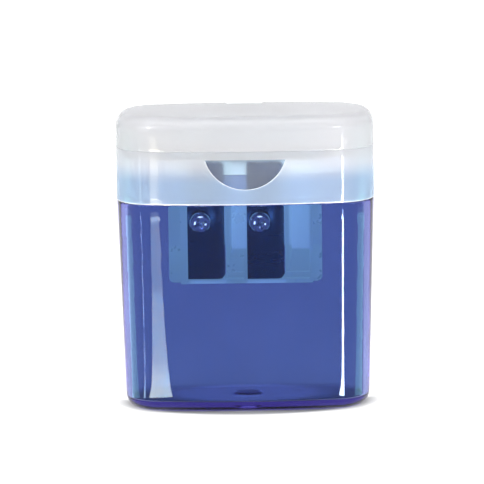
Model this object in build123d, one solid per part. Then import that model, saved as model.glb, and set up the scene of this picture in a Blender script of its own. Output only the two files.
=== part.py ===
from build123d import *
import math
import os

# Two-hole hand pencil sharpener with a clear shavings tub and a flip-top cap.
# Millimetres, +Z up, front of the object towards -Y.
# Origin: centre of the tub's footprint, on the surface that the tub stands on.

os.makedirs("parts", exist_ok=True)

# ---------------------------------------------------------------- overall
WIDTH = 50.0            # across the cap, along X
DEPTH = 24.0            # front to back, along Y
HEIGHT = 58.0           # floor to top of lid
FACE_RADIUS = 113.0     # gentle bow of the front and back faces, seen from above
END_RADIUS = 60.0       # bow of the two narrow ends
CORNER_RADIUS = 8.0     # upright corners

# ---------------------------------------------------------------- levels
Z_SHOULDER = 41.05      # step in the tub that the skirt comes down to
Z_SKIRT = 41.15         # bottom edge of the cap's skirt
Z_RIM = 46.9            # top of the tub's neck
Z_DECK_LOW = 49.9       # underside of the cap's deck
Z_SEAM = 51.5           # top of the deck, where the lid starts
LID_GAP = 0.1

# ---------------------------------------------------------------- tub
FOOT_INSET = 1.3        # how much narrower each side is at the foot (draft)
FOOT_FILLET = 3.0
FLOOR = 2.2
NECK_INSET = 1.0        # outside of the neck, in from the cap's outside
NECK_WALL = 0.85
FOOT_WALL = 1.15
GATE_RADIUS = 2.3

# ---------------------------------------------------------------- cap
SKIRT_WALL = 0.85
SPIGOT_OUT = 1.25       # raised rim on the deck that the lid closes over
SPIGOT_IN = 2.15
SPIGOT_HEIGHT = 1.3
RECESS_RADIUS = 8.1     # half-moon thumb recess in the front of the skirt
RECESS_CENTRE_Z = 52.2
RECESS_PANEL = 0.35     # what is left of the wall behind the recess
LID_WALL = 1.1
LID_TOP = 1.3
LID_FILLET = 2.8

# ---------------------------------------------------------------- lid hinge
HINGE_Y = 10.2          # hinge line, parallel to X
HINGE_Z = 55.4
KNUCKLE_RADIUS = 1.75
KNUCKLE_WIDTH = 6.5     # upright knuckle on the cap base
SLOT_WIDTH = 7.0        # slot in the lid's rear edge that the knuckle stands in
SLOT_FRONT_Y = 8.1
EAR_WIDTH = 3.1         # lid's ears on both sides of the slot
EAR_RADIUS = 1.95
PIN_RADIUS = 0.75
PIN_HALF = 6.0
PIN_RUNNING = 0.05      # clearance in the knuckle
PIN_HELD = 0.02         # clearance in the ears
REAR_RIM_Z = 52.05      # the lid's rear rim is cut higher, to swing over the deck

# ---------------------------------------------------------------- sharpening insert
CONE_HALF_ANGLE = 12.0
PENCIL = (
    # name, axis x, bore radius, height of the cone's apex
    ("standard", -4.1, 4.1, 25.0),
    ("jumbo", 7.4, 5.6, 23.4),
)
INSERT_LEFT = -15.0
INSERT_RIGHT = 14.7
INSERT_LOW = 24.1
BLADE_LENGTH = 24.0
BLADE_WIDTH = 7.3
BLADE_THICK = 0.75
BLADE_BEVEL = 1.2
BLADE_OVER = 0.1        # cutting edge past the cone's own line
BLADE_HOLE = 1.45
SCREW_OFFSET = 4.8      # from the cutting edge's side back to the screw
SCREW_HEAD = 2.1
SCREW_HEAD_HIGH = 1.25
SCREW_CORE = 0.85
SCREW_THREAD = 1.15
SCREW_PILOT = 1.25
SCREW_LENGTH = 5.4

SIN = math.sin(math.radians(CONE_HALF_ANGLE))
COS = math.cos(math.radians(CONE_HALF_ANGLE))
TAN = SIN / COS


# ---------------------------------------------------------------- plan outline
def _corner_centre():
    """Centre of the front right corner arc, tangent inside to the face arc and the end arc."""
    fx, fy = 0.0, FACE_RADIUS - DEPTH / 2
    sx, sy = WIDTH / 2 - END_RADIUS, 0.0
    r1, r2 = FACE_RADIUS - CORNER_RADIUS, END_RADIUS - CORNER_RADIUS
    dx, dy = sx - fx, sy - fy
    d = math.hypot(dx, dy)
    along = (r1 * r1 - r2 * r2 + d * d) / (2 * d)
    off = math.sqrt(r1 * r1 - along * along)
    mx, my = fx + along * dx / d, fy + along * dy / d
    options = [(mx - off * dy / d, my + off * dx / d), (mx + off * dy / d, my - off * dx / d)]
    return max(options, key=lambda p: p[0]), (fx, fy), (sx, sy)


CORNER, FACE_C, END_C = _corner_centre()


def outline(inset, z):
    """The plan shape at height z, moved in by inset all round. Every arc keeps its centre."""
    def unit(frm, to):
        d = math.hypot(to[0] - frm[0], to[1] - frm[1])
        return (to[0] - frm[0]) / d, (to[1] - frm[1]) / d

    uf, us = unit(FACE_C, CORNER), unit(END_C, CORNER)
    rf, rs, rc = FACE_RADIUS - inset, END_RADIUS - inset, CORNER_RADIUS - inset
    tf = (FACE_C[0] + uf[0] * rf, FACE_C[1] + uf[1] * rf)
    ts = (END_C[0] + us[0] * rs, END_C[1] + us[1] * rs)
    bx, by = uf[0] + us[0], uf[1] + us[1]
    bl = math.hypot(bx, by)
    tc = (CORNER[0] + bx / bl * rc, CORNER[1] + by / bl * rc)
    hw, hd = WIDTH / 2 - inset, DEPTH / 2 - inset

    def p(q, sx=1, sy=1):
        return (q[0] * sx, q[1] * sy, z)

    edges = [
        ThreePointArc(p(tf, -1, 1), (0, -hd, z), p(tf)),
        ThreePointArc(p(tf), p(tc), p(ts)),
        ThreePointArc(p(ts), (hw, 0, z), p(ts, 1, -1)),
        ThreePointArc(p(ts, 1, -1), p(tc, 1, -1), p(tf, 1, -1)),
        ThreePointArc(p(tf, 1, -1), (0, hd, z), p(tf, -1, -1)),
        ThreePointArc(p(tf, -1, -1), p(tc, -1, -1), p(ts, -1, -1)),
        ThreePointArc(p(ts, -1, -1), (-hw, 0, z), p(ts, -1, 1)),
        ThreePointArc(p(ts, -1, 1), p(tc, -1, 1), p(tf, -1, 1)),
    ]
    return Face(Wire(edges))


def prism(inset, z0, z1):
    return Part() + extrude(outline(inset, z0), amount=z1 - z0, dir=(0, 0, 1))


def drafted(inset0, z0, inset1, z1):
    return Part() + loft([outline(inset0, z0), outline(inset1, z1)], ruled=True)


def edges_at(shape, z):
    return shape.edges().filter_by_position(Axis.Z, z - 0.005, z + 0.005)


def block(x0, x1, y0, y1, z0, z1):
    return Pos((x0 + x1) / 2, (y0 + y1) / 2, (z0 + z1) / 2) * Box(x1 - x0, y1 - y0, z1 - z0)


def rounded_block(x0, x1, y0, y1, z0, z1, r):
    b = block(x0, x1, y0, y1, z0, z1)
    return fillet(b.edges().filter_by(Axis.Z), r)


# ---------------------------------------------------------------- tub
def make_tub():
    body = drafted(FOOT_INSET, 0, 0.05, Z_SHOULDER)
    body = fillet(edges_at(body, 0), FOOT_FILLET)
    body = fillet(edges_at(body, Z_SHOULDER), 0.25)
    neck = prism(NECK_INSET, Z_SHOULDER - 1.0, Z_RIM)
    neck = fillet(edges_at(neck, Z_RIM), 0.3)
    tub = body + neck
    cavity = drafted(FOOT_INSET + FOOT_WALL, FLOOR, NECK_INSET + NECK_WALL, Z_RIM + 0.6)
    cavity = fillet(edges_at(cavity, FLOOR), 0.45)
    tub = tub - cavity
    # gate: a shallow dish under the floor and a low dome above it
    tub = tub - Pos(0, 0, 0.15) * Cylinder(GATE_RADIUS - 0.5, 0.5)
    dome = Pos(0, 0, FLOOR + 0.1) * Cylinder(GATE_RADIUS, 0.6)
    dome = fillet(dome.edges().sort_by(Axis.Z)[-1], 0.3)
    return tub + dome


# ---------------------------------------------------------------- cap base
def make_cap_base():
    base = prism(0, Z_SKIRT, Z_SEAM)
    base = fillet(edges_at(base, Z_SKIRT), 0.25)
    base = fillet(edges_at(base, Z_SEAM), 0.25)
    base = base - prism(SKIRT_WALL, Z_SKIRT - 1, Z_DECK_LOW)
    spigot = prism(SPIGOT_OUT, Z_SEAM - 0.3, Z_SEAM + SPIGOT_HEIGHT)
    spigot = fillet(edges_at(spigot, Z_SEAM + SPIGOT_HEIGHT), 0.25)
    spigot = spigot - prism(SPIGOT_IN, Z_SEAM - 1, Z_SEAM + SPIGOT_HEIGHT + 1)
    base = base + spigot
    # half-moon thumb recess below the deck, with a thin panel left at its back
    moon = Pos(0, -DEPTH / 2, RECESS_CENTRE_Z) * Rot(90, 0, 0) * Cylinder(RECESS_RADIUS, 3.0)
    moon = moon & block(-12, 12, -14, -10.6, 40, Z_DECK_LOW)
    moon = moon - prism(SKIRT_WALL - RECESS_PANEL, 39, 53)
    base = base - moon
    # seat and opening for the sharpening insert
    base = base - rounded_block(INSERT_LEFT - 0.15, INSERT_RIGHT + 0.15, -7.35, 7.05, 49, 53, 0.2)
    base = base - rounded_block(INSERT_LEFT - 1.05, INSERT_RIGHT + 1.05, -8.15, 7.85, Z_SEAM - 0.8, 52.5, 1.6)
    # hinge knuckle, with a web down to the deck
    hw = KNUCKLE_WIDTH / 2
    base = base - block(-30, 30, 2.0, 14, Z_SEAM, 54)
    knuckle = block(-hw, hw, HINGE_Y - KNUCKLE_RADIUS, HINGE_Y + KNUCKLE_RADIUS, Z_SEAM - 0.4, HINGE_Z)
    knuckle = knuckle + Pos(0, HINGE_Y, HINGE_Z) * Rot(0, 90, 0) * Cylinder(KNUCKLE_RADIUS, KNUCKLE_WIDTH)
    base = base + knuckle
    base = base - Pos(0, HINGE_Y, HINGE_Z) * Rot(0, 90, 0) * Cylinder(PIN_RADIUS + PIN_RUNNING, 12)
    # fine upright ribs inside the skirt, left of the recess, that grip the neck
    for i in range(8):
        x = -14.8 + 0.62 * i
        y = -(DEPTH / 2 - SKIRT_WALL) + (FACE_RADIUS - math.sqrt(FACE_RADIUS ** 2 - x * x))
        base = base + block(x - 0.13, x + 0.13, y - 0.25, y + 0.07, 42.0, 44.2)
    return base


# ---------------------------------------------------------------- lid
def make_lid():
    z0 = Z_SEAM + LID_GAP
    lid = prism(0, z0, HEIGHT)
    lid = fillet(edges_at(lid, HEIGHT), LID_FILLET)
    lid = fillet(edges_at(lid, z0), 0.25)
    solid_lid = lid
    hollow = prism(LID_WALL, z0 - 1, HEIGHT - LID_TOP)
    hollow = fillet(edges_at(hollow, HEIGHT - LID_TOP), LID_FILLET - LID_WALL)
    lid = lid - hollow
    # ears for the hinge pin, then the slot between them
    sw = SLOT_WIDTH / 2
    ears = block(-sw - EAR_WIDTH, sw + EAR_WIDTH, HINGE_Y - EAR_RADIUS, DEPTH / 2 - 0.6, HINGE_Z, HEIGHT - 0.6)
    ears = ears + block(-sw - EAR_WIDTH, sw + EAR_WIDTH, HINGE_Y, DEPTH / 2 - 0.6, HINGE_Z - EAR_RADIUS, HINGE_Z)
    ears = ears + Pos(0, HINGE_Y, HINGE_Z) * Rot(0, 90, 0) * Cylinder(EAR_RADIUS, SLOT_WIDTH + 2 * EAR_WIDTH)
    ears = ears & solid_lid
    lid = lid + ears
    slot = block(-sw, sw, SLOT_FRONT_Y, 14, z0 - 1, HEIGHT + 1)
    slot = fillet(slot.edges().filter_by(Axis.Z).group_by(Axis.Y)[0], 0.6)
    lid = lid - slot
    lid = lid - Pos(0, HINGE_Y, HINGE_Z) * Rot(0, 90, 0) * Cylinder(PIN_RADIUS + PIN_HELD, 2 * PIN_HALF)
    # rear rim, raised to clear the deck as the lid swings
    lid = lid - block(-30, 30, HINGE_Y - 0.4, 14, z0 - 1, REAR_RIM_Z)
    return lid


# ---------------------------------------------------------------- hinge pin
def make_hinge_pin():
    pin = Rot(0, 90, 0) * Cylinder(PIN_RADIUS, 2 * PIN_HALF)
    pin = chamfer(pin.edges().filter_by(GeomType.CIRCLE), 0.15)
    return Pos(0, HINGE_Y, HINGE_Z) * pin


# ---------------------------------------------------------------- insert
def seat_plane(apex):
    """Tangent plane along the front of a cone: local X is X, local Y runs up the slope, local Z points out of the seat."""
    return Plane(origin=(0, 0, apex), x_dir=(1, 0, 0), z_dir=(0, -COS, -SIN))


def on_seat(apex, x0, x1, y0, y1, z0, z1):
    return seat_plane(apex).location * block(x0, x1, y0, y1, z0, z1)


def yz_prism(points, x0, x1):
    face = Face(Wire(Polyline(*[(x0, y, z) for y, z in points], close=True).edges()))
    return Part() + extrude(face, amount=x1 - x0, dir=(1, 0, 0))


def make_insert():
    top = Z_SEAM
    z1 = Z_SEAM - 0.8
    # wide rear shell
    body = yz_prism([(0.8, INSERT_LOW), (2.6, INSERT_LOW), (6.9, 48.9), (6.9, z1), (0.8, z1)], INSERT_LEFT, INSERT_RIGHT)
    low = body.edges().filter_by(Axis.Y).group_by(Axis.Z)[0]
    body = fillet(low, 1.0)
    # narrower front wedge that carries the blades, one slope for each cone
    split = 0.0
    for (x0, x1), (_, _, _, apex) in zip(((-12.7, split), (split, 12.9)), PENCIL):
        yt = -(z1 - apex) * TAN
        body = body + yz_prism([(0.9, 24.5), (0.15, 24.5), ((apex - 24.5) * TAN, 24.5), (yt, z1), (0.9, z1)], x0, x1)
    # ledge under the blades, side wall on the left, and the walls beside each chip gap
    (_, xa, ra, pa), (_, xb, rb, pb) = PENCIL
    ledge_a, ledge_b = blade_low(pa) - 0.07, blade_low(pb) - 0.07
    body = body + on_seat(pa, -12.7, split, ledge_a - 0.8, ledge_a, -0.8, 1.0)
    body = body + on_seat(pb, split, 12.9, ledge_b - 0.8, ledge_b, -0.8, 0.9)
    body = body + on_seat(pa, -12.7, -11.42, -0.75, 24.2, -0.8, 1.1)
    body = body + on_seat(pa, xa + 1.4, 0.08, 6.1, 24.6, -1.5, 1.3)
    body = body + on_seat(pa, -0.42, 0.08, -0.75, 7.0, -0.8, 0.9)
    body = body + on_seat(pb, xb + 1.4, 12.9, 7.1, 25.6, -1.5, 1.3)
    body = body + on_seat(pb, 12.3, 12.9, ledge_b - 0.8, 8.0, -0.8, 0.9)
    # head of the insert, inside the deck's opening, and its flange
    body = body + rounded_block(-13.2, 14.2, -7.2, 6.9, 48.95, z1 + 0.1, 1.0)
    body = body + rounded_block(INSERT_LEFT - 0.9, INSERT_RIGHT + 0.9, -8.0, 7.7, z1, top, 1.5)
    # snap barbs under the deck
    for side, x in ((-1, INSERT_LEFT), (1, INSERT_RIGHT)):
        barb = Face(Wire(Polyline((x - side * 0.3, 1.6, 47.9), (x, 1.6, 47.9), (x + side * 0.4, 1.6, 49.5),
                                  (x + side * 0.4, 1.6, 49.8), (x - side * 0.3, 1.6, 49.8), close=True).edges()))
        body = body + extrude(barb, amount=4.2, dir=(0, 1, 0))
    for name, x, r, apex in PENCIL:
        z_cyl = apex + r / TAN
        z_tip = 26.0
        r_tip = (z_tip - apex) * TAN
        hole = Face(Wire(Polyline((x, 0, 23), (x + 0.5, 0, 23), (x + 0.5, 0, z_tip), (x + max(r_tip, 0.5), 0, z_tip if r_tip > 0.5 else apex + 0.5 / TAN),
                                  (x + r, 0, z_cyl), (x + r, 0, top - 0.35), (x + r + 0.35, 0, top), (x + r + 0.35, 0, top + 1), (x, 0, top + 1), close=True).edges())) \
            if r_tip > 0.5 else \
            Face(Wire(Polyline((x, 0, 23), (x + 0.5, 0, 23), (x + 0.5, 0, apex + 0.5 / TAN),
                               (x + r, 0, z_cyl), (x + r, 0, top - 0.35), (x + r + 0.35, 0, top), (x + r + 0.35, 0, top + 1), (x, 0, top + 1), close=True).edges()))
        body = body - revolve(hole, axis=Axis((x, 0, 0), (0, 0, 1)))
        # chip gap along the cutting edge, opening out near the point
        body = body - block(x - 1.6, x + 1.4, -12, 0, 26.2, 48.95)
        right = -0.42 if name == "standard" else 12.3
        body = body - block(x - 1.6, right, -12, 0.2, 26.2, 31.0)
        # pilot hole for the blade's screw
        loc = seat_plane(apex).location
        body = body - loc * Pos(x - SCREW_OFFSET + BLADE_OVER, blade_mid(apex), -2.6) * Cylinder(SCREW_PILOT, 6.4)
    return body


def blade_low(apex):
    return 0.15 + (25.1 - apex - 0.1) / COS


def blade_mid(apex):
    return blade_low(apex) + BLADE_LENGTH / 2


# ---------------------------------------------------------------- blade and screw
def make_blade(x_axis, apex):
    x1 = x_axis + BLADE_OVER
    x0 = x1 - BLADE_WIDTH
    y0 = blade_low(apex)
    y1 = y0 + BLADE_LENGTH
    profile = Face(Wire(Polyline((x0, y0, 0.02), (x1, y0, 0.02), (x1 - BLADE_BEVEL, y0, BLADE_THICK), (x0, y0, BLADE_THICK), close=True).edges()))
    blade = Part() + extrude(profile, amount=BLADE_LENGTH, dir=(0, 1, 0))
    for sy, y in ((1, y0), (-1, y1)):
        nick = Face(Wire(Polyline((x1 - 0.8, y - sy * 0.1, -1), (x1 + 0.5, y - sy * 0.1, -1), (x1 + 0.5, y + sy * 0.9, -1), (x1, y + sy * 0.8, -1), close=True).edges()))
        blade = blade - extrude(nick, amount=4, dir=(0, 0, 1))
    blade = blade - Pos(x1 - SCREW_OFFSET, (y0 + y1) / 2, 0) * Cylinder(BLADE_HOLE, 4)
    return seat_plane(apex).location * blade


def make_screw(x_axis, apex):
    pts = [(0, -SCREW_LENGTH), (0.25, -SCREW_LENGTH), (SCREW_CORE, -SCREW_LENGTH + 1.0)]
    z = -SCREW_LENGTH + 1.2
    while z < -0.75:
        pts += [(SCREW_CORE, z), (SCREW_THREAD, z + 0.26), (SCREW_THREAD, z + 0.34), (SCREW_CORE, z + 0.6)]
        z += 0.7
    pts += [(SCREW_CORE, -0.1), (SCREW_THREAD, 0.0), (SCREW_THREAD, BLADE_THICK + 0.02)]
    zb = BLADE_THICK + 0.02
    pts += [(SCREW_HEAD - 0.05, zb), (SCREW_HEAD, zb + 0.12), (SCREW_HEAD, zb + 0.38)]
    for i in range(1, 7):
        a = math.radians(90 * i / 6)
        pts.append((SCREW_HEAD * 0.42 + SCREW_HEAD * 0.58 * math.cos(a), zb + 0.38 + (SCREW_HEAD_HIGH - 0.38) * math.sin(a)))
    pts.append((0, zb + SCREW_HEAD_HIGH))
    face = Face(Wire(Polyline(*[(r, 0, z) for r, z in pts], close=True).edges()))
    screw = Part() + revolve(face, axis=Axis.Z)
    # cross recess
    zt = zb + SCREW_HEAD_HIGH
    for turn in (0, 90):
        slot = Face(Wire(Polyline((-1.25, 0.24, zt + 0.2), (1.25, 0.24, zt + 0.2), (1.15, 0.24, zt - 0.25), (0.25, 0.24, zt - 0.95),
                                  (-0.25, 0.24, zt - 0.95), (-1.15, 0.24, zt - 0.25), close=True).edges()))
        screw = screw - Rot(0, 0, turn + 20) * extrude(slot, amount=0.48, dir=(0, -1, 0))
    loc = seat_plane(apex).location
    return loc * Pos(x_axis + BLADE_OVER - SCREW_OFFSET, blade_mid(apex), 0) * screw


parts = {
    "shavings_tub": make_tub(),
    "cap_base": make_cap_base(),
    "flip_lid": make_lid(),
    "hinge_pin": make_hinge_pin(),
    "sharpening_insert": make_insert(),
}
for name, x, r, apex in PENCIL:
    parts["blade_" + name] = make_blade(x, apex)
    parts["blade_screw_" + name] = make_screw(x, apex)

for name, shape in parts.items():
    solids = shape.solids()
    print(name, "solids", len(solids), "volume %.1f" % sum(s.volume for s in solids), "valid", all(s.is_valid for s in solids))
    export_step(shape, f"parts/{name}.step")
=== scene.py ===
import math

import bmesh
import bpy
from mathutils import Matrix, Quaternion, Vector


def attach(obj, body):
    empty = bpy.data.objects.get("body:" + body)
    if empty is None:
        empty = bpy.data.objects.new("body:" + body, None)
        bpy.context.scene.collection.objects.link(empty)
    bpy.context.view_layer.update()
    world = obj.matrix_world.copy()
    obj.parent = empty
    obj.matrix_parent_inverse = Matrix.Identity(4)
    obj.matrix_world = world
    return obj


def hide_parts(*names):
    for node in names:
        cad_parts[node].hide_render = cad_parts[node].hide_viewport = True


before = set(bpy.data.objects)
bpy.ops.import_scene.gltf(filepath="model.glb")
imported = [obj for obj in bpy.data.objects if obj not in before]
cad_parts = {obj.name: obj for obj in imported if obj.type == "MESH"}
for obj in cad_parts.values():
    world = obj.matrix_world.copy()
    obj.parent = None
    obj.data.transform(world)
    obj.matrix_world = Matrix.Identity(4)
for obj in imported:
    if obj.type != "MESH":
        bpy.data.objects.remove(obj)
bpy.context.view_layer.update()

MM = 0.001

# ------------------------------------------------------------------ dimensions, in mm
WIDTH, DEPTH, HEIGHT = 50.0, 24.0, 58.0
FACE_R, END_R, CORNER_R = 113.0, 60.0, 8.0
Z_SHOULDER, Z_SKIRT, Z_RIM = 41.05, 41.15, 46.9
Z_DECK_LOW, Z_SEAM, Z_LID = 49.9, 51.5, 51.51
HINGE_Y, HINGE_Z = 10.2, 55.4
APEX = {"standard": 25.0, "jumbo": 23.4}
AXIS_X = {"standard": -4.1, "jumbo": 7.4}
CONE = math.radians(12.0)


# ------------------------------------------------------------------ plan outline
def _corner_centre():
    fx, fy = 0.0, FACE_R - DEPTH / 2
    sx, sy = WIDTH / 2 - END_R, 0.0
    r1, r2 = FACE_R - CORNER_R, END_R - CORNER_R
    dx, dy = sx - fx, sy - fy
    d = math.hypot(dx, dy)
    along = (r1 * r1 - r2 * r2 + d * d) / (2 * d)
    off = math.sqrt(r1 * r1 - along * along)
    mx, my = fx + along * dx / d, fy + along * dy / d
    options = [(mx - off * dy / d, my + off * dx / d), (mx + off * dy / d, my - off * dx / d)]
    return max(options, key=lambda p: p[0]), (fx, fy), (sx, sy)


CORNER, FACE_C, END_C = _corner_centre()
A_FACE = math.atan2(CORNER[1] - FACE_C[1], CORNER[0] - FACE_C[0])
A_END = math.atan2(CORNER[1] - END_C[1], CORNER[0] - END_C[0])
N_FACE, N_CORNER, N_END = 12, 16, 9


def quadrant(inset):
    """Front right quarter of the plan outline, from the middle of the front to the middle of the end."""
    pts = []
    for i in range(N_FACE):
        a = -math.pi / 2 + (A_FACE + math.pi / 2) * i / N_FACE
        pts.append((FACE_C[0] + (FACE_R - inset) * math.cos(a), FACE_C[1] + (FACE_R - inset) * math.sin(a)))
    for i in range(N_CORNER):
        a = A_FACE + (A_END - A_FACE) * i / N_CORNER
        pts.append((CORNER[0] + (CORNER_R - inset) * math.cos(a), CORNER[1] + (CORNER_R - inset) * math.sin(a)))
    for i in range(N_END + 1):
        a = A_END + (0.0 - A_END) * i / N_END
        pts.append((END_C[0] + (END_R - inset) * math.cos(a), END_C[1] + (END_R - inset) * math.sin(a)))
    return pts


def outline(inset):
    q = quadrant(inset)
    m = len(q) - 1
    right_back = [(x, -y) for x, y in reversed(q[:m])]
    left_back = [(-x, -y) for x, y in q[1:]]
    left_front = [(-x, y) for x, y in reversed(q[1:m])]
    return q + right_back + left_back + left_front


OUT0 = outline(0.0)
COUNT = len(OUT0)


def ring(inset, z):
    return [(x, y, z) for x, y in outline(inset)]


def circle_ring(r, z, cx=0.0, cy=0.0):
    pts = []
    for x, y in OUT0:
        a = math.atan2(y / 12.0, x / 25.0)
        pts.append((cx + r * math.cos(a), cy + r * math.sin(a), z))
    return pts


def rect_ring(x0, x1, y0, y1, r, z):
    """A rounded rectangle with one point for each point of the plan outline."""
    cx, cy, a, b = (x0 + x1) / 2, (y0 + y1) / 2, (x1 - x0) / 2, (y1 - y0) / 2
    pts = []
    for x, y in OUT0:
        t = math.atan2(y / 12.0, x / 25.0)
        dx, dy = math.cos(t) * a, math.sin(t) * b
        lo, hi = 0.0, 3.0
        for _ in range(40):
            mid = (lo + hi) / 2
            px, py = abs(dx * mid), abs(dy * mid)
            qx, qy = px - (a - r), py - (b - r)
            inside = (px <= a and py <= b) and not (qx > 0 and qy > 0 and math.hypot(qx, qy) > r)
            lo, hi = (mid, hi) if inside else (lo, mid)
        pts.append((cx + dx * lo, cy + dy * lo, z))
    return pts


def arc(i0, z0, i1, z1, bulge, n=5):
    """Inset and height pairs round a quarter turn. bulge 'h' leaves horizontally, 'v' vertically."""
    out = []
    for k in range(1, n):
        t = math.pi / 2 * k / n
        if bulge == "h":
            out.append((i0 + (i1 - i0) * math.sin(t), z0 + (z1 - z0) * (1 - math.cos(t))))
        else:
            out.append((i0 + (i1 - i0) * (1 - math.cos(t)), z0 + (z1 - z0) * math.sin(t)))
    return out


def straight(i0, z0, i1, z1, n):
    return [(i0 + (i1 - i0) * k / n, z0 + (z1 - z0) * k / n) for k in range(n + 1)]


def loft(name, rings, closed=False):
    """A closed mesh through rings of equal length. Open ends are filled."""
    bm = bmesh.new()
    rows = [[bm.verts.new(Vector(p) * MM) for p in r] for r in rings]
    pairs = list(zip(rows, rows[1:] + ([rows[0]] if closed else [])))
    for lo, hi in pairs:
        for i in range(COUNT):
            j = (i + 1) % COUNT
            bm.faces.new((lo[i], lo[j], hi[j], hi[i]))
    if not closed:
        bm.faces.new(list(reversed(rows[0])))
        bm.faces.new(rows[-1])
    bmesh.ops.recalc_face_normals(bm, faces=bm.faces)
    me = bpy.data.meshes.new(name)
    bm.to_mesh(me)
    bm.free()
    ob = bpy.data.objects.new(name, me)
    bpy.context.scene.collection.objects.link(ob)
    return ob


def box_mesh(name, x0, x1, y0, y1, z0, z1, bevel=0.0):
    bm = bmesh.new()
    bmesh.ops.create_cube(bm, size=1.0)
    for v in bm.verts:
        v.co = Vector((x0 + (v.co.x + 0.5) * (x1 - x0), y0 + (v.co.y + 0.5) * (y1 - y0), z0 + (v.co.z + 0.5) * (z1 - z0))) * MM
    if bevel:
        bmesh.ops.bevel(bm, geom=list(bm.edges), offset=bevel * MM, segments=3, affect="EDGES", profile=0.5)
    me = bpy.data.meshes.new(name)
    bm.to_mesh(me)
    bm.free()
    ob = bpy.data.objects.new(name, me)
    bpy.context.scene.collection.objects.link(ob)
    return ob


def prism_mesh(name, pts, depth):
    """A closed prism: pts are 3-D corners of one end, depth the vector to the other end."""
    bm = bmesh.new()
    a = [bm.verts.new(Vector(p) * MM) for p in pts]
    b = [bm.verts.new((Vector(p) + Vector(depth)) * MM) for p in pts]
    n = len(pts)
    bm.faces.new(a)
    bm.faces.new(list(reversed(b)))
    for i in range(n):
        j = (i + 1) % n
        bm.faces.new((a[i], b[i], b[j], a[j]))
    bmesh.ops.recalc_face_normals(bm, faces=bm.faces)
    me = bpy.data.meshes.new(name)
    bm.to_mesh(me)
    bm.free()
    ob = bpy.data.objects.new(name, me)
    bpy.context.scene.collection.objects.link(ob)
    return ob


def boolean(ob, cutter, op):
    mod = ob.modifiers.new("b", "BOOLEAN")
    mod.operation = op
    mod.solver = "EXACT"
    mod.object = cutter
    bpy.context.view_layer.update()
    dg = bpy.context.evaluated_depsgraph_get()
    me = bpy.data.meshes.new_from_object(ob.evaluated_get(dg))
    ob.modifiers.clear()
    old = ob.data
    ob.data = me
    bpy.data.meshes.remove(old)
    bpy.data.objects.remove(cutter, do_unlink=True)
    return ob


def smooth(ob, degrees=35.0):
    for p in ob.data.polygons:
        p.use_smooth = True
    ob.data.set_sharp_from_angle(angle=math.radians(degrees))
    return ob


def circle_points(cy, cz, r, x, n=48, a0=0.0, a1=2 * math.pi):
    return [(x, cy + r * math.cos(a0 + (a1 - a0) * k / n), cz + r * math.sin(a0 + (a1 - a0) * k / n)) for k in range(n)]


# ------------------------------------------------------------------ shavings tub
def make_tub():
    rings = []
    rings.append(circle_ring(0.9, 0.4))
    rings.append(circle_ring(1.60, 0.4))
    rings.append(circle_ring(1.74, 0.3))
    rings.append(circle_ring(1.80, 0.06))
    rings.append(circle_ring(1.90, 0.0))
    rings.append(circle_ring(3.2, 0.0))
    rings.append(rect_ring(-17.5, 17.5, -5.0, 5.0, 3.0, 0.0))
    prof = [(4.6, 0.0), (4.25, 0.0)]
    prof += arc(4.25, 0.0, 1.22, 3.0, "h", 10)
    prof += straight(1.21, 3.0, 0.06, 40.75, 16)
    prof += arc(0.06, 40.75, 0.32, 41.05, "v", 4)
    prof += [(0.34, 41.05), (0.78, 41.05)] + arc(0.80, 41.05, 1.0, 41.25, "h", 3) + [(1.0, 41.3)]
    prof += straight(1.0, 41.6, 1.0, 46.55, 5)
    prof += arc(1.0, 46.6, 1.3, 46.9, "v", 4)
    prof += [(1.32, 46.9), (1.55, 46.9)] + arc(1.56, 46.9, 1.85, 46.6, "h", 4)
    prof += straight(1.86, 46.55, 2.435, 2.75, 18)
    prof += arc(2.44, 2.65, 2.89, 2.2, "v", 5)
    prof += [(2.92, 2.2), (3.4, 2.2), (4.9, 2.2)]
    rings += [ring(i, z) for i, z in prof]
    rings.append(rect_ring(-17.0, 17.0, -4.8, 4.8, 3.0, 2.2))
    rings.append(circle_ring(3.3, 2.2))
    rings.append(circle_ring(2.34, 2.2))
    rings.append(circle_ring(2.30, 2.23))
    rings.append(circle_ring(2.29, 2.33))
    rings.append(circle_ring(2.22, 2.48))
    rings.append(circle_ring(2.05, 2.57))
    rings.append(circle_ring(1.85, 2.6))
    rings.append(circle_ring(0.8, 2.6))
    return smooth(loft("clear_tub", rings), 50)


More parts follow.
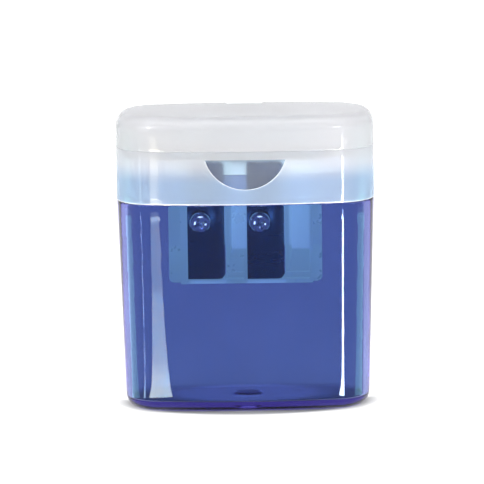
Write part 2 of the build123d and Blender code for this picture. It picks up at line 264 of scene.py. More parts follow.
# ------------------------------------------------------------------ cap base
def make_cap():
    prof = [(0.22, Z_SKIRT)] + arc(0.22, Z_SKIRT, 0.0, Z_SKIRT + 0.22, "h", 3)
    prof += straight(0.0, Z_SKIRT + 0.22, 0.0, Z_SEAM - 0.12, 8)
    prof += arc(0.0, Z_SEAM - 0.12, 0.12, Z_SEAM, "v", 4)
    prof += [(0.14, Z_SEAM), (1.23, Z_SEAM)]
    rings = [ring(i, z) for i, z in prof]
    spigot = [(1.25, 0.0), (1.25, 1.05), (1.32, 1.23), (1.5, 1.3), (1.9, 1.3), (2.08, 1.23), (2.15, 1.05), (2.15, 0.0)]
    for i, h in spigot:
        rings.append([(x, y, Z_SEAM + h * min(1.0, max(0.0, (2.2 - y) / 0.6))) for x, y in outline(i)])
    rings.append(ring(2.2, Z_SEAM))
    rings.append(rect_ring(-16.25, 15.95, -8.35, 8.05, 1.7, Z_SEAM))
    rings.append(rect_ring(-16.05, 15.75, -8.15, 7.85, 1.6, Z_SEAM - 0.08))
    rings.append(rect_ring(-16.05, 15.75, -8.15, 7.85, 1.6, Z_SEAM - 0.8))
    rings.append(rect_ring(-15.15, 14.85, -7.35, 7.05, 0.3, Z_SEAM - 0.8))
    rings.append(rect_ring(-15.15, 14.85, -7.35, 7.05, 0.3, Z_DECK_LOW))
    rings.append(rect_ring(-15.35, 15.05, -7.55, 7.25, 0.4, Z_DECK_LOW))
    rings.append(ring(1.4, Z_DECK_LOW))
    for i, z in arc(1.25, Z_DECK_LOW, 0.85, Z_DECK_LOW - 0.4, "h", 4):
        rings.append(ring(i, z))
    for i, z in straight(0.85, Z_DECK_LOW - 0.45, 0.85, Z_SKIRT + 0.1, 7):
        rings.append(ring(i, z))
    rings.append(ring(0.85, Z_SKIRT))
    ob = loft("frosted_cap", rings, closed=True)
    # thumb recess
    n = 56
    top = Z_DECK_LOW + 0.02
    a = math.asin((52.2 - top) / 8.1)
    pts = [(8.1 * math.cos(-a - (math.pi - 2 * a) * k / n), -14.0, 52.2 + 8.1 * math.sin(-a - (math.pi - 2 * a) * k / n)) for k in range(n + 1)]
    moon = prism_mesh("cut", pts, (0, 3.4, 0))
    boolean(ob, moon, "DIFFERENCE")
    # knuckle
    r = 1.75
    prof = [(HINGE_Y + r, Z_SEAM - 0.4), (HINGE_Y - r, Z_SEAM - 0.4), (HINGE_Y - r, HINGE_Z)]
    prof += [(HINGE_Y - r * math.cos(math.pi * k / 24), HINGE_Z + r * math.sin(math.pi * k / 24)) for k in range(1, 24)]
    prof += [(HINGE_Y + r, HINGE_Z)]
    knuckle = prism_mesh("knuckle", [(-3.25, y, z) for y, z in prof], (6.5, 0, 0))
    boolean(ob, knuckle, "UNION")
    boolean(ob, prism_mesh("bore", circle_points(HINGE_Y, HINGE_Z, 0.80, -4.0, 40), (8, 0, 0)), "DIFFERENCE")
    return smooth(ob, 38)


# ------------------------------------------------------------------ thumb recess panel
def make_panel():
    """The thin wall at the back of the half-moon recess, bowed like the face."""
    top, r, cz = Z_DECK_LOW + 0.02, 8.1, 52.2
    a = math.asin((cz - top) / r)
    bm = bmesh.new()
    cols = 40
    half = r * math.cos(a)
    fronts, backs = [], []
    for k in range(cols + 1):
        x = -half * math.cos(math.pi * k / cols)
        low = cz - math.sqrt(max(r * r - x * x, 0.0))
        f, b = [], []
        for j in range(7):
            z = top + (low - top) * j / 6
            yf = FACE_C[1] - math.sqrt((FACE_R - 0.50) ** 2 - x * x)
            yb = FACE_C[1] - math.sqrt((FACE_R - 0.85) ** 2 - x * x)
            f.append(bm.verts.new(Vector((x, -abs(yf) if yf < 0 else yf, z)) * MM))
            b.append(bm.verts.new(Vector((x, -abs(yb) if yb < 0 else yb, z)) * MM))
        fronts.append(f)
        backs.append(b)
    for k in range(cols):
        for j in range(6):
            bm.faces.new((fronts[k][j], fronts[k][j + 1], fronts[k + 1][j + 1], fronts[k + 1][j]))
            bm.faces.new((backs[k][j], backs[k + 1][j], backs[k + 1][j + 1], backs[k][j + 1]))
        for j in (0, 6):
            bm.faces.new((fronts[k][j], fronts[k + 1][j], backs[k + 1][j], backs[k][j]))
    for k in (0, cols):
        for j in range(6):
            bm.faces.new((fronts[k][j], fronts[k][j + 1], backs[k][j + 1], backs[k][j]))
    bmesh.ops.remove_doubles(bm, verts=bm.verts, dist=2e-6)
    bmesh.ops.recalc_face_normals(bm, faces=bm.faces)
    me = bpy.data.meshes.new("thumb_panel")
    bm.to_mesh(me)
    bm.free()
    ob = bpy.data.objects.new("thumb_panel", me)
    bpy.context.scene.collection.objects.link(ob)
    return smooth(ob, 30)


def make_rim_bead():
    """A fine moulded bead round the curved edge of the thumb recess; its whitish edge material paints a highlight line
    along that edge.
    """
    r, cz, top = 8.1, 52.2, Z_DECK_LOW
    a = math.asin((cz - top) / r)
    path = []
    for k in range(73):
        t = -a - (math.pi - 2 * a) * k / 72
        x, z = r * math.cos(t), cz + r * math.sin(t)
        y = FACE_C[1] - math.sqrt(FACE_R ** 2 - x * x)
        path.append(Vector((x, y + 0.02, z)))
    bm = bmesh.new()
    rows = []
    for k, p in enumerate(path):
        d = (path[min(k + 1, 72)] - path[max(k - 1, 0)]).normalized()
        out = Vector((0, -1, 0))
        side = d.cross(out).normalized()
        out = side.cross(d).normalized()
        rows.append([bm.verts.new((p + (side * math.cos(u) + out * math.sin(u)) * 0.055) * MM) for u in [2 * math.pi * i / 10 for i in range(10)]])
    for lo, hi in zip(rows, rows[1:]):
        for i in range(10):
            j = (i + 1) % 10
            bm.faces.new((lo[i], lo[j], hi[j], hi[i]))
    bm.faces.new(rows[0])
    bm.faces.new(list(reversed(rows[-1])))
    bmesh.ops.recalc_face_normals(bm, faces=bm.faces)
    me = bpy.data.meshes.new("recess_bead")
    bm.to_mesh(me)
    bm.free()
    ob = bpy.data.objects.new("recess_bead", me)
    bpy.context.scene.collection.objects.link(ob)
    return smooth(ob, 60)


# ------------------------------------------------------------------ lid
def make_lid():
    prof = [(1.1, Z_LID), (0.12, Z_LID)] + arc(0.12, Z_LID, 0.0, Z_LID + 0.12, "h", 4)
    prof += straight(0.0, Z_LID + 0.12, 0.0, 55.15, 5)
    prof += arc(0.0, 55.2, 2.8, 58.0, "v", 12)
    prof += [(2.8, 58.0), (3.0, 58.0), (4.2, 58.0), (5.6, 58.0)]
    outer = [ring(i, z) for i, z in prof]
    rings = [rect_ring(-14, 14, -4, 4, 2.5, 56.7)]
    inner = [(5.0, 56.7), (3.0, 56.7), (2.85, 56.7)] + arc(2.8, 56.7, 1.1, 55.0, "h", 8) + straight(1.1, 54.95, 1.1, 51.7, 4)
    rings += [ring(i, z) for i, z in inner]
    rings += outer
    rings.append(rect_ring(-14, 14, -4, 4, 2.5, 58.0))
    ob = loft("frosted_lid", rings)
    sw, ew, er = 3.5, 3.1, 1.95
    ears = []
    for s in (-1, 1):
        prof = [(HINGE_Y - er, HINGE_Z)]
        prof += [(HINGE_Y - er * math.cos(math.pi / 2 * k / 14), HINGE_Z - er * math.sin(math.pi / 2 * k / 14)) for k in range(1, 15)]
        prof += [(11.35, HINGE_Z - er), (11.35, 56.6), (HINGE_Y - er, 57.2)]
        x0 = sw - 0.3 if s > 0 else -sw - ew
        ears.append(prism_mesh("ear", [(x0, y, z) for y, z in prof], (ew + 0.3, 0, 0)))
    for ear in ears:
        boolean(ob, ear, "UNION")
    slot = box_mesh("slot", -sw, sw, 8.1, 14.0, 50.0, 60.0)
    boolean(ob, slot, "DIFFERENCE")
    boolean(ob, prism_mesh("bore", circle_points(HINGE_Y, HINGE_Z, 0.77, -6.0, 40), (12, 0, 0)), "DIFFERENCE")
    boolean(ob, box_mesh("rim", -30, 30, HINGE_Y - 0.4, 14, 50.0, 52.05), "DIFFERENCE")
    return smooth(ob, 38)


tub = make_tub()
cap = make_cap()
lid = make_lid()
panel = make_panel()
rim_bead = make_rim_bead()
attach(rim_bead, "cap")
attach(panel, "cap")
for ob, node, body, slot_name in (
    (tub, "shavings_tub", "tub", "blue_clear_plastic"),
    (cap, "cap_base", "cap", "frosted_plastic"),
    (lid, "flip_lid", "lid", "frosted_plastic"),
):
    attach(ob, body)
    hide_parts(node)


# ------------------------------------------------------------------ materials
def new_material(name):
    m = bpy.data.materials.new(name)
    m.use_nodes = True
    nt = m.node_tree
    bsdf = nt.nodes["Principled BSDF"]
    return m, nt, bsdf


def node(nt, kind, **values):
    n = nt.nodes.new(kind)
    for k, v in values.items():
        if k in n.inputs:
            n.inputs[k].default_value = v
        else:
            setattr(n, k, v)
    return n


def noise(nt, scale, detail=3.0, rough=0.5, stretch=None):
    tc = nt.nodes.new("ShaderNodeTexCoord")
    vec = tc.outputs["Object"]
    if stretch:
        mp = nt.nodes.new("ShaderNodeMapping")
        mp.inputs["Scale"].default_value = stretch
        nt.links.new(vec, mp.inputs["Vector"])
        vec = mp.outputs["Vector"]
    n = nt.nodes.new("ShaderNodeTexNoise")
    n.inputs["Scale"].default_value = scale
    n.inputs["Detail"].default_value = detail
    n.inputs["Roughness"].default_value = rough
    nt.links.new(vec, n.inputs["Vector"])
    return n.outputs["Fac"]


def ramp(nt, fac, stops):
    r = nt.nodes.new("ShaderNodeValToRGB")
    els = r.color_ramp.elements
    while len(els) < len(stops):
        els.new(0.5)
    for e, (p, c) in zip(els, stops):
        e.position = p
        e.color = c if len(c) == 4 else (*c, 1.0)
    nt.links.new(fac, r.inputs["Fac"])
    return r.outputs["Color"]


def map_range(nt, fac, lo, hi):
    m = nt.nodes.new("ShaderNodeMapRange")
    m.inputs["To Min"].default_value = lo
    m.inputs["To Max"].default_value = hi
    nt.links.new(fac, m.inputs["Value"])
    return m.outputs["Result"]


def bump(nt, fac, strength, distance):
    b = nt.nodes.new("ShaderNodeBump")
    b.inputs["Strength"].default_value = strength
    b.inputs["Distance"].default_value = distance
    nt.links.new(fac, b.inputs["Height"])
    return b.outputs["Normal"]


def blue_clear():
    m, nt, b = new_material("blue_clear_plastic")
    b.inputs["Transmission Weight"].default_value = 1.0
    b.inputs["IOR"].default_value = 1.49
    # the dye shows purple where the wall is seen edge on
    b.inputs["Sheen Weight"].default_value = 0.26
    b.inputs["Sheen Roughness"].default_value = 0.20
    b.inputs["Sheen Tint"].default_value = (0.30, 0.06, 0.62, 1.0)
    b.inputs["Specular Tint"].default_value = (0.07, 0.12, 0.20, 1.0)
    b.inputs["Coat Weight"].default_value = 0.15
    b.inputs["Coat Roughness"].default_value = 0.015
    tint = ramp(nt, noise(nt, 60.0, 2.0), [(0.3, (0.215, 0.295, 0.510)), (0.7, (0.235, 0.318, 0.535))])
    nt.links.new(tint, b.inputs["Base Color"])
    # faint flow lines and handling marks in an otherwise polished surface
    nt.links.new(map_range(nt, noise(nt, 260.0, 4.0, 0.6), 0.0, 0.014), b.inputs["Roughness"])
    nt.links.new(bump(nt, noise(nt, 90.0, 1.0, 0.4, (1.0, 1.0, 0.35)), 0.05, 0.0003), b.inputs["Normal"])
    vol = nt.nodes.new("ShaderNodeVolumeAbsorption")
    vol.inputs["Color"].default_value = (0.34, 0.06, 0.72, 1.0)
    vol.inputs["Density"].default_value = 130.0
    nt.links.new(vol.outputs["Volume"], nt.nodes["Material Output"].inputs["Volume"])
    return m


def frosted(name, lo, hi, transmission, rough, coat=0.0, glow=0.0, scatter=None):
    m, nt, b = new_material(name)
    b.inputs["Transmission Weight"].default_value = transmission
    b.inputs["IOR"].default_value = 1.49
    if coat:
        b.inputs["Coat Weight"].default_value = coat
        b.inputs["Coat Roughness"].default_value = 0.07
    if glow:
        # painted glow, standing in for light that the milky plastic carries down from its lit top
        tc = nt.nodes.new("ShaderNodeTexCoord")
        sep = nt.nodes.new("ShaderNodeSeparateXYZ")
        nt.links.new(tc.outputs["Object"], sep.inputs["Vector"])
        high = nt.nodes.new("ShaderNodeMapRange")
        high.inputs["From Min"].default_value = 0.022
        high.inputs["From Max"].default_value = 0.052
        nt.links.new(sep.outputs["Z"], high.inputs["Value"])
        glow_colour = ramp(nt, high.outputs["Result"], [(0.0, (0.36, 0.54, 0.58)), (0.30, (0.42, 0.66, 0.70)), (0.58, (0.47, 0.76, 0.74)), (0.72, (0.38, 0.50, 0.54)), (0.86, (0.24, 0.30, 0.32)), (0.91, (0.0, 0.0, 0.0)), (1.0, (0.0, 0.0, 0.0))])
        # painted glow, brighter beside each blade over the sharpening slots and dimmer at its two ends; the slots are
        # real gaps in the part, their brightness is painted
        across = nt.nodes.new("ShaderNodeMapRange")
        across.inputs["From Min"].default_value = -0.015
        across.inputs["From Max"].default_value = 0.015
        nt.links.new(sep.outputs["X"], across.inputs["Value"])
        thin = ramp(nt, across.outputs["Result"], [(0.0, (0.58, 0.58, 0.58)), (0.07, (0.58, 0.58, 0.58)), (0.08, (0.66, 0.66, 0.66)), (0.40, (0.66, 0.66, 0.66)), (0.41, (1.0, 1.0, 1.0)), (0.495, (1.0, 1.0, 1.0)), (0.505, (0.66, 0.66, 0.66)),
                                                   (0.775, (0.66, 0.66, 0.66)), (0.785, (1.0, 1.0, 1.0)), (0.90, (0.95, 0.95, 0.95)), (0.92, (0.60, 0.60, 0.60)), (1.0, (0.60, 0.60, 0.60))])
        # painted glow by height: the ledge highlights below about 24.7 mm, an even dimmer band up to about 31 mm, the
        # slot pattern above
        low = nt.nodes.new("ShaderNodeMapRange")
        low.inputs["From Min"].default_value = 0.0311
        low.inputs["From Max"].default_value = 0.0314
        nt.links.new(sep.outputs["Z"], low.inputs["Value"])
        part = nt.nodes.new("ShaderNodeMix")
        part.data_type = "RGBA"
        nt.links.new(low.outputs["Result"], part.inputs["Factor"])
        # painted highlight on the ledge that the end of each blade rests on
        ledge_highlight = ramp(nt, across.outputs["Result"], [(0.0, (0.60, 0.62, 0.60)), (0.13, (0.60, 0.62, 0.60)), (0.14, (1.0, 1.0, 1.0)), (0.365, (1.0, 1.0, 1.0)), (0.375, (0.64, 0.67, 0.62)),
                                                     (0.50, (0.64, 0.67, 0.62)), (0.51, (1.0, 1.0, 1.0)), (0.75, (1.0, 1.0, 1.0)), (0.76, (0.64, 0.67, 0.62)), (1.0, (0.60, 0.62, 0.60))])
        end = nt.nodes.new("ShaderNodeMapRange")
        end.inputs["From Min"].default_value = 0.0246
        end.inputs["From Max"].default_value = 0.0248
        nt.links.new(sep.outputs["Z"], end.inputs["Value"])
        foot = nt.nodes.new("ShaderNodeMix")
        foot.data_type = "RGBA"
        nt.links.new(end.outputs["Result"], foot.inputs["Factor"])
        for s_in in foot.inputs:
            if s_in.type == "RGBA" and s_in.name == "A":
                nt.links.new(ledge_highlight, s_in)
            if s_in.type == "RGBA" and s_in.name == "B":
                s_in.default_value = (0.64, 0.67, 0.62, 1.0)
        for s_in in part.inputs:
            if s_in.type == "RGBA" and s_in.name == "A":
                nt.links.new([o for o in foot.outputs if o.type == "RGBA"][0], s_in)
            if s_in.type == "RGBA" and s_in.name == "B":
                nt.links.new(thin, s_in)
        times = nt.nodes.new("ShaderNodeVectorMath")
        times.operation = "MULTIPLY"
        nt.links.new(glow_colour, times.inputs[0])
        nt.links.new([o for o in part.outputs if o.type == "RGBA"][0], times.inputs[1])
        nt.links.new(times.outputs["Vector"], b.inputs["Emission Color"])
        b.inputs["Emission Strength"].default_value = glow
    if scatter:
        # painted glow: emission by height in the cap, from the scatter ramp
        tc = nt.nodes.new("ShaderNodeTexCoord")
        sep = nt.nodes.new("ShaderNodeSeparateXYZ")
        nt.links.new(tc.outputs["Object"], sep.inputs["Vector"])
        high = nt.nodes.new("ShaderNodeMapRange")
        high.inputs["From Min"].default_value = 0.041
        high.inputs["From Max"].default_value = 0.058
        nt.links.new(sep.outputs["Z"], high.inputs["Value"])
        nt.links.new(ramp(nt, high.outputs["Result"], scatter), b.inputs["Emission Color"])
        b.inputs["Emission Strength"].default_value = 1.0
        grain = ramp(nt, noise(nt, 45.0, 3.0), [(0.3, lo), (0.7, hi)])
        # painted bluish light from the tub's neck: the base colour is bluer below about 48 mm
        tone = ramp(nt, high.outputs["Result"], [(0.26, (0.69, 0.88, 1.0)), (0.44, (1.0, 1.0, 1.0))])
        times = nt.nodes.new("ShaderNodeVectorMath")
        times.operation = "MULTIPLY"
        nt.links.new(grain, times.inputs[0])
        nt.links.new(tone, times.inputs[1])
        nt.links.new(times.outputs["Vector"], b.inputs["Base Color"])
    elif glow:
        grain = ramp(nt, noise(nt, 45.0, 3.0), [(0.3, lo), (0.7, hi)])
        # painted shade: the base colour is much darker below about 43 mm, inside the blue tub, than above 46 mm
        tone = ramp(nt, high.outputs["Result"], [(0.70, (0.22, 0.29, 0.32)), (0.80, (0.55, 0.62, 0.66))])
        times = nt.nodes.new("ShaderNodeVectorMath")
        times.operation = "MULTIPLY"
        nt.links.new(grain, times.inputs[0])
        nt.links.new(tone, times.inputs[1])
        nt.links.new(times.outputs["Vector"], b.inputs["Base Color"])
    else:
        nt.links.new(ramp(nt, noise(nt, 45.0, 3.0), [(0.3, lo), (0.7, hi)]), b.inputs["Base Color"])
    nt.links.new(map_range(nt, noise(nt, 320.0, 4.0, 0.6), rough - 0.04, rough + 0.05), b.inputs["Roughness"])
    nt.links.new(bump(nt, noise(nt, 2600.0, 3.0, 0.6), 0.25, 0.00004), b.inputs["Normal"])
    return m


def steel(name, dark, bright, rough, grain):
    m, nt, b = new_material(name)
    b.inputs["Metallic"].default_value = 1.0
    b.inputs["IOR"].default_value = 2.5
    lines = noise(nt, 900.0, 5.0, 0.65, grain)
    nt.links.new(ramp(nt, lines, [(0.30, dark), (0.75, bright)]), b.inputs["Base Color"])
    nt.links.new(map_range(nt, noise(nt, 420.0, 4.0, 0.6, grain), rough - 0.07, rough + 0.09), b.inputs["Roughness"])
    nt.links.new(bump(nt, lines, 0.22, 0.00002), b.inputs["Normal"])
    return m


def blade_steel(name, edge_x):
    """Ground steel, darker on the flat and brighter on the bevel that ends at x = edge_x, in mm, with a painted
    highlight line along the edge itself.
    """
    m, nt, b = new_material(name)
    b.inputs["Metallic"].default_value = 1.0
    lines = noise(nt, 900.0, 5.0, 0.65, (0.12, 1.0, 1.0))
    flat = ramp(nt, lines, [(0.30, (0.02, 0.055, 0.13)), (0.75, (0.04, 0.085, 0.17))])
    ground = ramp(nt, lines, [(0.30, (0.05, 0.09, 0.16)), (0.75, (0.09, 0.13, 0.21))])
    painted_edge_line = ramp(nt, lines, [(0.30, (0.66, 0.70, 0.74)), (0.75, (0.82, 0.85, 0.88))])
    tc = nt.nodes.new("ShaderNodeTexCoord")
    sep = nt.nodes.new("ShaderNodeSeparateXYZ")
    nt.links.new(tc.outputs["Object"], sep.inputs["Vector"])
    edge = nt.nodes.new("ShaderNodeMapRange")
    edge.inputs["From Min"].default_value = (edge_x - 1.25) * MM
    edge.inputs["From Max"].default_value = (edge_x - 1.15) * MM
    nt.links.new(sep.outputs["X"], edge.inputs["Value"])
    mix = nt.nodes.new("ShaderNodeMix")
    mix.data_type = "RGBA"
    nt.links.new(edge.outputs["Result"], mix.inputs["Factor"])
    for s_in in mix.inputs:
        if s_in.type == "RGBA" and s_in.name == "A":
            nt.links.new(flat, s_in)
        if s_in.type == "RGBA" and s_in.name == "B":
            nt.links.new(ground, s_in)
    out = [o for o in mix.outputs if o.type == "RGBA"][0]
    # painted highlight: a light line in the last 0.2 mm before the cutting edge
    tip = nt.nodes.new("ShaderNodeMapRange")
    tip.inputs["From Min"].default_value = (edge_x - 0.20) * MM
    tip.inputs["From Max"].default_value = (edge_x - 0.14) * MM
    nt.links.new(sep.outputs["X"], tip.inputs["Value"])
    mix = nt.nodes.new("ShaderNodeMix")
    mix.data_type = "RGBA"
    nt.links.new(tip.outputs["Result"], mix.inputs["Factor"])
    for s_in in mix.inputs:
        if s_in.type == "RGBA" and s_in.name == "A":
            nt.links.new(out, s_in)
        if s_in.type == "RGBA" and s_in.name == "B":
            nt.links.new(painted_edge_line, s_in)
    out = [o for o in mix.outputs if o.type == "RGBA"][0]
    nt.links.new(out, b.inputs["Base Color"])
    nt.links.new(map_range(nt, noise(nt, 420.0, 4.0, 0.6, (0.12, 1.0, 1.0)), 0.18, 0.34), b.inputs["Roughness"])
    nt.links.new(bump(nt, lines, 0.22, 0.00002), b.inputs["Normal"])
    return m


# painted glow: light scattered inside the milky wall, given as emission by height in the cap: bluish over the tub's
# neck, white above it
SCATTER = [(0.0, (0.0, 0.01, 0.05)), (0.28, (0.0, 0.01, 0.05)), (0.46, (0.045, 0.05, 0.06)), (0.60, (0.055, 0.055, 0.055)), (0.63, (0.0, 0.0, 0.0)), (1.0, (0.0, 0.0, 0.0))]
M_BLUE = blue_clear()
M_FROST = frosted("frosted_plastic", (0.72, 0.715, 0.73), (0.765, 0.76, 0.775), 0.86, 0.66, coat=0.6, scatter=SCATTER)
# whiter and less clear than the cap: painted highlight lines on the skirt's bottom edge, the lid's lower edge at the
# seam and the recess bead
M_EDGE_HIGHLIGHT = frosted("painted_edge_highlight", (0.93, 0.94, 0.96), (0.97, 0.975, 0.99), 0.30, 0.28, coat=0.6)
M_PANEL = frosted("frosted_panel", (0.72, 0.75, 0.81), (0.77, 0.80, 0.85), 0.925, 0.22)
M_PANEL.node_tree.nodes["Principled BSDF"].inputs["Specular Tint"].default_value = (0.45, 0.60, 0.85, 1.0)
M_INSERT = frosted("insert_plastic", (0.80, 0.88, 0.94), (0.90, 0.95, 0.98), 0.45, 0.28, glow=1.22)
M_BLADES = {n: blade_steel("blade_steel_" + n, AXIS_X[n] + 0.1) for n in ("standard", "jumbo")}
M_SCREW = steel("screw_steel", (0.50, 0.56, 0.58), (0.70, 0.76, 0.78), 0.09, (1.0, 1.0, 1.0))


def assign(ob, mat):
    ob.data.materials.clear()
    ob.data.materials.append(mat)


def paint_edge_highlight(ob, mat, test):
    """Gives the whitish edge material, a painted highlight line, to the faces whose middle passes the test, in mm."""
    ob.data.materials.append(mat)
    for p in ob.data.polygons:
        c = p.center / MM
        if test(c):
            p.material_index = 1


assign(tub, M_BLUE)
assign(cap, M_FROST)
assign(lid, M_FROST)
assign(panel, M_PANEL)
# painted highlight lines on the skirt's bottom edge, the lid's seam edge and the recess bead
paint_edge_highlight(cap, M_EDGE_HIGHLIGHT, lambda c: c.z < 41.32)
paint_edge_highlight(lid, M_EDGE_HIGHLIGHT, lambda c: c.z < 51.56)
assign(rim_bead, M_EDGE_HIGHLIGHT)
for name, mat in (("hinge_pin", M_FROST), ("sharpening_insert", M_INSERT), ("blade_standard", M_BLADES["standard"]),
                  ("blade_jumbo", M_BLADES["jumbo"]), ("blade_screw_standard", M_SCREW), ("blade_screw_jumbo", M_SCREW)):
    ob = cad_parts[name]
    if ob.material_slots:
        for s in ob.material_slots:
            s.material = mat
    else:
        ob.data.materials.append(mat)

# ------------------------------------------------------------------ floor, light, camera
bm = bmesh.new()
bmesh.ops.create_grid(bm, x_segments=2, y_segments=2, size=2.5)
me = bpy.data.meshes.new("floor")
bm.to_mesh(me)
bm.free()
floor = bpy.data.objects.new("floor", me)
bpy.context.scene.collection.objects.link(floor)
floor.location.z = -0.0001
m, nt, b = new_material("floor_paper")
nt.links.new(ramp(nt, noise(nt, 3.0, 2.0), [(0.3, (0.26, 0.26, 0.263)), (0.7, (0.28, 0.28, 0.28))]), b.inputs["Base Color"])
b.inputs["Roughness"].default_value = 0.8
b.inputs["Specular IOR Level"].default_value = 0.1
# painted light and shade in the floor's glow: brighter under the tub, a painted contact-shadow ring round its foot
tc = nt.nodes.new("ShaderNodeTexCoord")
mp = nt.nodes.new("ShaderNodeMapping")
mp.inputs["Scale"].default_value = (1 / 0.0238, 1 / 0.0132, 1.0)
mp.inputs["Location"].default_value = (0.0, -0.185, 0.0)
nt.links.new(tc.outputs["Object"], mp.inputs["Vector"])
ln = nt.nodes.new("ShaderNodeVectorMath")
ln.operation = "LENGTH"
nt.links.new(mp.outputs["Vector"], ln.inputs[0])
half = nt.nodes.new("ShaderNodeMath")
half.operation = "MULTIPLY"
half.inputs[1].default_value = 0.5
nt.links.new(ln.outputs["Value"], half.inputs[0])
painted_light_and_shadow = ramp(nt, half.outputs["Value"], [(0.0, (0.60, 0.60, 0.60)), (0.26, (0.60, 0.60, 0.60)), (0.40, (0.06, 0.06, 0.06)), (0.48, (0.05, 0.05, 0.05)), (0.55, (0.28, 0.28, 0.28)), (0.80, (0.30, 0.30, 0.30))])
sep = nt.nodes.new("ShaderNodeSeparateXYZ")
nt.links.new(tc.outputs["Object"], sep.inputs["Vector"])
# behind the tub the painted shadow ring is lifted back up
behind = nt.nodes.new("ShaderNodeMapRange")
behind.inputs["From Min"].default_value = 0.002
behind.inputs["From Max"].default_value = 0.006
behind.inputs["To Max"].default_value = 0.30
nt.links.new(sep.outputs["Y"], behind.inputs["Value"])
most = nt.nodes.new("ShaderNodeVectorMath")
most.operation = "MAXIMUM"
nt.links.new(painted_light_and_shadow, most.inputs[0])
nt.links.new(behind.outputs["Result"], most.inputs[1])
nt.links.new(most.outputs["Vector"], b.inputs["Emission Color"])
b.inputs["Emission Strength"].default_value = 3.0
floor.data.materials.append(m)

scene = bpy.context.scene
scene.view_settings.view_transform = "Standard"
world = bpy.data.worlds.new("studio")
world.use_nodes = True
world.node_tree.nodes["Background"].inputs["Color"].default_value = (0.97, 0.98, 1.0, 1.0)
world.node_tree.nodes["Background"].inputs["Strength"].default_value = 0.95
scene.world = world


def area(name, loc, target, size, size_y, energy, visible=False):
    data = bpy.data.lights.new(name, "AREA")
    data.shape = "RECTANGLE"
    data.size, data.size_y = size, size_y
    data.energy = energy
    ob = bpy.data.objects.new(name, data)
    ob.location = loc
    ob.rotation_euler = (Vector(target) - Vector(loc)).to_track_quat("-Z", "Y").to_euler()
    ob.visible_camera = visible
    scene.collection.objects.link(ob)
    return ob


area("top_softbox", (0.0, -0.10, 0.75), (0, 0, 0.03), 0.7, 0.5, 4.0)
area("left_softbox", (-0.55, -0.45, 0.35), (0, 0, 0.03), 0.25, 0.5, 1.6)
area("right_strip", (0.60, -0.35, 0.30), (0, 0, 0.03), 0.08, 0.5, 0.8)
area("spark_left", (-0.30, -0.55, 0.42), (0, 0, 0.035), 0.07, 0.07, 1.8)
area("spark_right", (0.26, -0.60, 0.30), (0, 0, 0.035), 0.06, 0.06, 1.2)


def strip(name, start, azimuth, near, far, width, radiance, tint):
    """A light strip that lies on the table and shines up, along a line leaving the object at an angle from -Y.

    It is there for the long highlights that the upright walls mirror, and adds no soft light of its own.
    """
    a = math.radians(azimuth)
    mid, length = (near + far) / 2, far - near
    x, y = start[0] + mid * math.sin(a), start[1] - mid * math.cos(a)
    data = bpy.data.lights.new(name, "AREA")
    data.shape = "RECTANGLE"
    data.size, data.size_y = width * MM, length * MM
    data.energy = radiance * math.pi * width * length * MM * MM
    data.color = tint
    ob = bpy.data.objects.new(name, data)
    ob.location = (x * MM, y * MM, 0.4 * MM)
    ob.rotation_euler = (math.pi, 0.0, a)
    ob.visible_camera = False
    ob.visible_transmission = False
    ob.visible_diffuse = False
    scene.collection.objects.link(ob)
    return ob


def fan(name, start, azimuth, angle, foot, radiance, tint=(1.0, 1.0, 1.0), profile=((0, 1.0), (205, 1.0), (206, 0.22), (400, 0.22))):
    """Strips that widen with distance, so that a wall mirrors a band of even width; the profile is (distance, strength)."""
    n, first, last = 16, 5.0, 350.0
    for i in range(n):
        near = first * (last / first) ** (i / n)
        far = first * (last / first) ** ((i + 1) / n)
        width = foot + (near + far) * math.tan(math.radians(angle) / 2)
        mid = (near + far) / 2
        for (d0, v0), (d1, v1) in zip(profile, profile[1:]):
            if d0 <= mid <= d1:
                value = v0 + (v1 - v0) * (mid - d0) / (d1 - d0)
        strip(f"{name}_{i}", start, azimuth, near, far, width, radiance * value, tint)


fan("band_left", (-19.0, -12.0), -20.4, 3.4, 7.8, 30.0, (1.0, 0.93, 0.68),
    ((0, 1.7), (22, 1.5), (34, 0.95), (80, 0.80), (110, 0.45), (145, 0.50), (160, 1.1), (205, 1.1), (206, 0.22), (400, 0.22)))
fan("line_right", (19.3, -12.0), 27.5, 3.6, 2.3, 130.0)
fan("side_left", (-23.2, -7.3), -95.0, 24.0, 4.0, 5.0, (0.36, 0.90, 0.80))
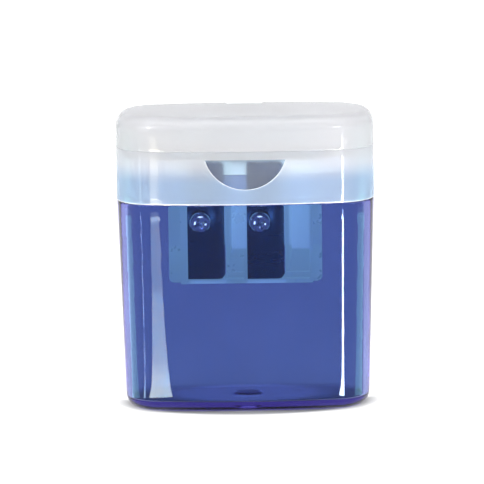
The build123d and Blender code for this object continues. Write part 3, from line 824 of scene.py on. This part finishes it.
# small cards that only glint on the screw heads
for name in ("standard", "jumbo"):
    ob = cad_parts["blade_screw_" + name]
    pts = [ob.matrix_world @ v.co for v in ob.data.vertices]
    front = min(p.y for p in pts)
    head = [p for p in pts if p.y < front + 0.8 * MM]
    middle = sum(head, Vector()) / len(head)
    for i, (dx, dz, w, h) in enumerate(((-1.9, -2.2, 1.3, 1.3), (2.0, -1.9, 1.2, 1.6), (0.2, 1.2, 2.8, 0.7), (0.3, -3.4, 0.8, 0.8))):
        data = bpy.data.lights.new(f"glint_{name}_{i}", "AREA")
        data.shape = "RECTANGLE"
        data.size, data.size_y = w * MM, h * MM
        data.energy = 7.0 * math.pi * w * h * MM * MM
        data.color = (1.0, 1.0, 0.80)
        card = bpy.data.objects.new(f"glint_{name}_{i}", data)
        card.location = middle + Vector((dx * MM, -3.0 * MM, dz * MM))
        card.rotation_euler = (middle - card.location).to_track_quat("-Z", "Y").to_euler()
        card.visible_camera = False
        card.visible_diffuse = False
        card.visible_transmission = False
        scene.collection.objects.link(card)
fan("thin_left", (-22.0, -9.0), -50.0, 1.8, 0.7, 40.0, (0.75, 0.95, 1.0))
fan("side_right", (22.8, -7.8), 86.0, 24.0, 3.5, 6.5, (0.36, 0.90, 0.80))

target = Vector((-0.0008, 0.0, 0.0319))
elev = math.radians(10.0)
dist = 1.0
cam_data = bpy.data.cameras.new("camera")
cam_data.sensor_width = 36.0
cam_data.lens = 36.0 * dist / 0.0942
cam_data.clip_start, cam_data.clip_end = 0.05, 20.0
cam = bpy.data.objects.new("camera", cam_data)
cam.location = target + Vector((0.0, -math.cos(elev), math.sin(elev))) * dist
q = (target - cam.location).to_track_quat("-Z", "Y")
cam.rotation_mode = "QUATERNION"
roll = math.radians(-0.75)
cam.rotation_quaternion = q @ Quaternion((0, 0, 1), roll)
scene.collection.objects.link(cam)
scene.camera = cam
scene.cycles.max_bounces = 24
scene.cycles.transmission_bounces = 20
scene.cycles.glossy_bounces = 8
scene.cycles.diffuse_bounces = 6
